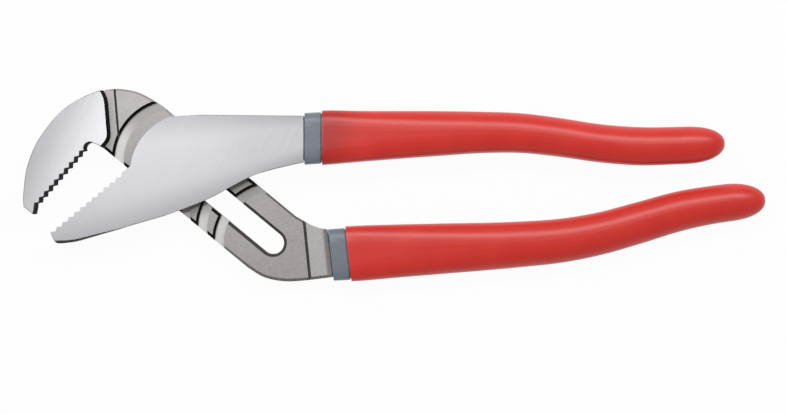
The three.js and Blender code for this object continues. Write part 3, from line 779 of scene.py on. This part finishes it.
# Bright steel is ground with a fine belt and left bare, with a painted highlight along the lever's middle
# and painted shade towards its edges
LEVER_MIDDLE = (8.4, 6.6)
LEVER_TURN = math.radians(11.6)
LEVER_HALF_WIDTH = 13.5
LEVER_TAPER = 0.2
LEVER_HIGHLIGHT_TO = 0.35
LEVER_SHADE_FROM = 1.05
bright_steel = steel("bright_steel", "#c0c0c3", "#cccccf", roughness=0.4,
                     streak=14.0, fleck=0.4, turn=BELT_TURN)
lever_tree = bright_steel.node_tree
lever_highlight_axes = turned_axes(bright_steel, LEVER_MIDDLE, LEVER_TURN)
half_width = add_node(lever_tree, "ShaderNodeMath", {"operation": "MULTIPLY_ADD"},
                      i0=lever_highlight_axes["X"], i1=-LEVER_TAPER, i2=LEVER_HALF_WIDTH * MM)
from_middle = add_node(lever_tree, "ShaderNodeMath", {"operation": "ABSOLUTE"}, i0=lever_highlight_axes["Y"])
to_side = add_node(lever_tree, "ShaderNodeMath", {"operation": "DIVIDE"},
                   i0=from_middle.outputs[0], i1=half_width.outputs[0])
fade(bright_steel, to_side.outputs[0], LEVER_HIGHLIGHT_TO, LEVER_SHADE_FROM, "#adadb0")
FRONT_MATERIALS = [bright_steel, forged_steel, worn_oxide_and_shade]


def is_open_edge(edge):
    """True for an edge of the face that isn't over the bar, on a tooth or against the collar."""
    middle = (edge.verts[0].co + edge.verts[1].co) / 2
    clear = BAR_REACH < middle.xy.length and middle.x < COLLAR_FRONT
    return clear and not is_in_teeth(middle, LOWER_TEETH)


front_shape = merged_copy("front_lever")
bevel_rim(front_shape, FACE_LEVEL, FACE_EDGE, is_open_edge, segments=2)
front_lever = to_object("front_lever_forging", front_shape, FRONT_MATERIALS)
jaw_slope = edge_slope(FACE_LEVEL, JAW_SLOPE_PATH, JAW_SLOPE_WIDTHS, FRONT_MATERIALS.index(worn_oxide_and_shade))
cut_away(front_lever, to_object("jaw_slope", jaw_slope, FRONT_MATERIALS))
# The tang takes worn oxide, dark also as painted shade in the thin gap at the collar, and the other walls
# are forged
for face in front_lever.data.polygons:
    if face.center.x > UPPER_TANG * MM:
        face.material_index = FRONT_MATERIALS.index(worn_oxide_and_shade)
    elif abs(face.normal.z) < STEEP:
        face.material_index = FRONT_MATERIALS.index(forged_steel)
smooth(front_lever, 30)
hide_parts("front_lever")
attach(front_lever, "front_half")

# Bolt, washer and nut
# Plated steel, turned and pressed: the bolt's end is chamfered, the washer is stamped with a rolled edge.
# The nut is a thin hexagon with its corners turned off on both faces.
THREAD_RADIUS = 2.3
SHANK_RADIUS = 2.7
HEAD_RADIUS = 5.0
HEAD_TOP = 12.5
BOLT_CHAMFER = 0.5
HEAD_CHAMFER = 0.4
WASHER_RADIUS = 8.0
WASHER_ROLL = 0.3
WASHER_ROLL_HEIGHT = 0.25
NUT_HEIGHT = 2.4
NUT_ACROSS_FLATS = 11.0
NUT_CORNER = NUT_ACROSS_FLATS / math.sqrt(3)
NUT_CHAMFER = 0.5
NUT_BORE_CHAMFER = 0.4
BORE_SLACK = 0.2
BORE_RADIUS = THREAD_RADIUS + BORE_SLACK
RUN_GAP = 0.02
TURNING_REACH = 0.1
TURN_STEPS = 48
AXIS_GAP = 1e-5


def turned(profile):
    """A turned solid from a closed profile of radius and height, about the bolt's axis."""
    angles = [step * 2 * math.pi / TURN_STEPS for step in range(TURN_STEPS)]
    rings = [[(r * math.cos(a), r * math.sin(a), z) for r, z in profile] for a in angles]
    shape = loft(rings, joined=True)
    bmesh.ops.remove_doubles(shape, verts=shape.verts, dist=AXIS_GAP)
    bmesh.ops.recalc_face_normals(shape, faces=shape.faces)
    return shape


# Plated steel is a smooth cool grey, darker than the bare steel, with small crisp highlights
plated_steel = steel("plated_steel", "#84878b", "#a6a9ad", roughness=0.36, streak=1.0, fleck=0.4)
bolt_profile = [
    (0.0, 0.0),
    (THREAD_RADIUS - BOLT_CHAMFER, 0.0),
    (THREAD_RADIUS, BOLT_CHAMFER),
    (THREAD_RADIUS, BAR_BOTTOM),
    (SHANK_RADIUS, BAR_BOTTOM),
    (SHANK_RADIUS, JOINT_LEVEL + RUN_GAP),
    (HEAD_RADIUS, JOINT_LEVEL + RUN_GAP),
    (HEAD_RADIUS, HEAD_TOP - HEAD_CHAMFER),
    (HEAD_RADIUS - HEAD_CHAMFER, HEAD_TOP),
    (0.0, HEAD_TOP),
]
pivot_bolt = to_object("pivot_bolt_turned", turned(bolt_profile), [plated_steel])
washer_profile = [
    (BORE_RADIUS, NUT_HEIGHT + RUN_GAP),
    (WASHER_RADIUS - WASHER_ROLL, NUT_HEIGHT + RUN_GAP),
    (WASHER_RADIUS, NUT_HEIGHT + WASHER_ROLL_HEIGHT),
    (WASHER_RADIUS, BAR_BOTTOM - RUN_GAP),
    (BORE_RADIUS, BAR_BOTTOM - RUN_GAP),
]
pivot_washer = to_object("pivot_washer_stamped", turned(washer_profile), [plated_steel])
hexagon = [math.radians(60 * i + 30) for i in range(6)]
nut_rings = [
    [(NUT_CORNER * math.sin(angle), NUT_CORNER * math.cos(angle), level) for angle in hexagon]
    for level in (0.0, NUT_HEIGHT)
]
pivot_nut = to_object("pivot_nut_hexagon", loft(nut_rings), [plated_steel])
nut_profile = [
    (BORE_RADIUS + NUT_BORE_CHAMFER, 0.0),
    (NUT_ACROSS_FLATS / 2, 0.0),
    (NUT_CORNER + TURNING_REACH, NUT_CHAMFER),
    (NUT_CORNER + TURNING_REACH, NUT_HEIGHT - NUT_CHAMFER),
    (NUT_ACROSS_FLATS / 2, NUT_HEIGHT),
    (BORE_RADIUS, NUT_HEIGHT),
    (BORE_RADIUS, NUT_BORE_CHAMFER),
]
cut_away(pivot_nut, to_object("nut_turning", turned(nut_profile), [plated_steel]), "INTERSECT")
for piece, node, body in (
    (pivot_bolt, "pivot_bolt", "front_half"),
    (pivot_washer, "pivot_washer", "pivot_carriage"),
    (pivot_nut, "pivot_nut", "front_half"),
):
    smooth(piece, 30)
    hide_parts(node)
    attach(piece, body)

# Upper handle's liner and grip
# The same two sleeves in the same vinyls, pushed and dipped on the front lever's tang.
# They differ from the lower ones in their course alone.
UPPER_HANDLE = {
    "root": (38.7, 12.1),
    "tilt": 0.0,
    "level": 9.5,
    "stations": [
        (0.0, -0.1, 9.35, 5.5),
        (6.6, 0.3, 9.3, 5.6),
        (18.9, 0.75, 8.7, 5.8),
        (46.2, 1.75, 7.65, 6.0),
        (59.8, 2.1, 7.1, 5.9),
        (73.5, 1.9, 6.8, 5.8),
        (87.1, 0.4, 6.65, 5.7),
        (100.8, -1.6, 6.55, 5.6),
        (114.4, -2.6, 6.55, 5.5),
        (128.0, -2.35, 6.4, 5.4),
        (143.3, -1.7, 6.4, 5.3),
    ],
}
upper_liner = to_object("upper_liner_sleeve", liner_shape(UPPER_HANDLE), [liner_vinyl])
smooth(upper_liner, 40)
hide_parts("upper_grip_liner")
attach(upper_liner, "front_half")
upper_grip = to_object("upper_grip_dip", grip_shape(UPPER_HANDLE), [grip_vinyl])
smooth(upper_grip, 60)
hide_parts("upper_grip")
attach(upper_grip, "front_half")

# Floor, light and camera
# A white paper table in a pale room, a small lamp above the jaws, and a camera straight above the tool.
# A long soft box beyond the upper handle draws the band of light along the grips.

# Lengths of the floor, the lights and the camera are in metres
FLOOR_HALF = 3.0
FLOOR_DROP = 0.00005
FLOOR_WHITE = 0.96
floor_corners = [
    (-FLOOR_HALF, -FLOOR_HALF, -FLOOR_DROP),
    (FLOOR_HALF, -FLOOR_HALF, -FLOOR_DROP),
    (FLOOR_HALF, FLOOR_HALF, -FLOOR_DROP),
    (-FLOOR_HALF, FLOOR_HALF, -FLOOR_DROP),
]
floor_mesh = bpy.data.meshes.new("floor")
floor_mesh.from_pydata(floor_corners, [], [(0, 1, 2, 3)])
floor = bpy.data.objects.new("floor", floor_mesh)
bpy.context.scene.collection.objects.link(floor)
# Matt paper shows as an even white, in the steel's reflections too, with a trace of the tool's shadow
floor_paper, floor_tree, floor_shader = new_material("floor_paper")
floor_shader.inputs["Base Color"].default_value = srgb("#f4f4f4")
floor_shader.inputs["Roughness"].default_value = 0.9
floor_path = add_node(floor_tree, "ShaderNodeLightPath")
floor_shown = add_node(floor_tree, "ShaderNodeMath", {"operation": "MAXIMUM"},
                       i0=floor_path.outputs["Is Camera Ray"], i1=floor_path.outputs["Is Glossy Ray"])
floor_seen = add_node(floor_tree, "ShaderNodeMath", {"operation": "MAXIMUM"},
                      i0=floor_shown.outputs[0], i1=floor_path.outputs["Is Transmission Ray"])
floor_share = add_node(floor_tree, "ShaderNodeMath", {"operation": "MULTIPLY"},
                       i0=floor_seen.outputs[0], i1=FLOOR_WHITE)
floor_glow = add_node(floor_tree, "ShaderNodeEmission", Strength=1.0)
floor_mix = add_node(floor_tree, "ShaderNodeMixShader", Fac=floor_share.outputs[0],
                     i1=floor_shader.outputs[0], i2=floor_glow.outputs[0])
floor_tree.links.new(floor_mix.outputs[0], floor_tree.nodes["Material Output"].inputs["Surface"])
floor_mesh.materials.append(floor_paper)

# The room is white at the foot of its walls, grey above them and dimmer overhead
WALL_GLOW = 1.0
WALL_HEIGHT = (0.06, 0.12)
HORIZON_GLOW = 0.45
ZENITH_GLOW = 0.2
GLOW_HEIGHT = (0.25, 0.7)
room = bpy.data.worlds.new("room")
room.use_nodes = True
room_tree = room.node_tree
room_way = add_node(room_tree, "ShaderNodeTexCoord")
room_axes = add_node(room_tree, "ShaderNodeSeparateXYZ", Vector=room_way.outputs["Generated"])
room_glow = add_node(room_tree, "ShaderNodeMapRange", {"interpolation_type": "SMOOTHSTEP"},
                     i0=room_axes.outputs["Z"], i1=GLOW_HEIGHT[0], i2=GLOW_HEIGHT[1],
                     i3=HORIZON_GLOW, i4=ZENITH_GLOW)
room_wall = add_node(room_tree, "ShaderNodeMapRange", i0=room_axes.outputs["Z"],
                     i1=WALL_HEIGHT[0], i2=WALL_HEIGHT[1], i3=WALL_GLOW, i4=0.0)
room_level = add_node(room_tree, "ShaderNodeMath", {"operation": "MAXIMUM"},
                      i0=room_glow.outputs["Result"], i1=room_wall.outputs["Result"])
room_tree.nodes["Background"].inputs["Color"].default_value = srgb("#ffffff")
room_tree.links.new(room_level.outputs[0], room_tree.nodes["Background"].inputs["Strength"])
bpy.context.scene.world = room

VIEW_CENTRE = (0.06899, -0.01122)
VIEW_WIDTH = 0.26876
CAMERA_HEIGHT = 0.9
KEY_LAMP_PLACE = (-0.075, 0.065, 0.5)
KEY_LAMP_RADIUS = 0.02
KEY_LAMP_POWER = 0.95
SOFT_BOX_PLACE = (VIEW_CENTRE[0], 0.43, 0.78)
SOFT_BOX_AIM = (VIEW_CENTRE[0], 0.0, 0.0)
SOFT_BOX_LENGTH = 1.4
SOFT_BOX_WIDTH = 0.18
SOFT_BOX_POWER = 5.8
key_lamp = bpy.data.lights.new("key_lamp", "POINT")
key_lamp.energy = KEY_LAMP_POWER
key_lamp.shadow_soft_size = KEY_LAMP_RADIUS
key_lamp_object = bpy.data.objects.new("key_lamp", key_lamp)
key_lamp_object.location = KEY_LAMP_PLACE
bpy.context.scene.collection.objects.link(key_lamp_object)

soft_box = bpy.data.lights.new("soft_box", "AREA")
soft_box.shape = "RECTANGLE"
soft_box.size = SOFT_BOX_LENGTH
soft_box.size_y = SOFT_BOX_WIDTH
soft_box.energy = SOFT_BOX_POWER
soft_box_object = bpy.data.objects.new("soft_box", soft_box)
soft_box_object.location = SOFT_BOX_PLACE
soft_box_way = Vector(SOFT_BOX_AIM) - Vector(SOFT_BOX_PLACE)
soft_box_object.rotation_euler = soft_box_way.to_track_quat("-Z", "Y").to_euler()
bpy.context.scene.collection.objects.link(soft_box_object)

camera = bpy.data.cameras.new("camera")
camera.sensor_fit = "HORIZONTAL"
camera.angle = 2 * math.atan(VIEW_WIDTH / 2 / CAMERA_HEIGHT)
camera_object = bpy.data.objects.new("camera", camera)
camera_object.location = (VIEW_CENTRE[0], VIEW_CENTRE[1], CAMERA_HEIGHT + JOINT_LEVEL * MM)
bpy.context.scene.collection.objects.link(camera_object)
bpy.context.scene.camera = camera_object
bpy.context.scene.view_settings.view_transform = "Standard"
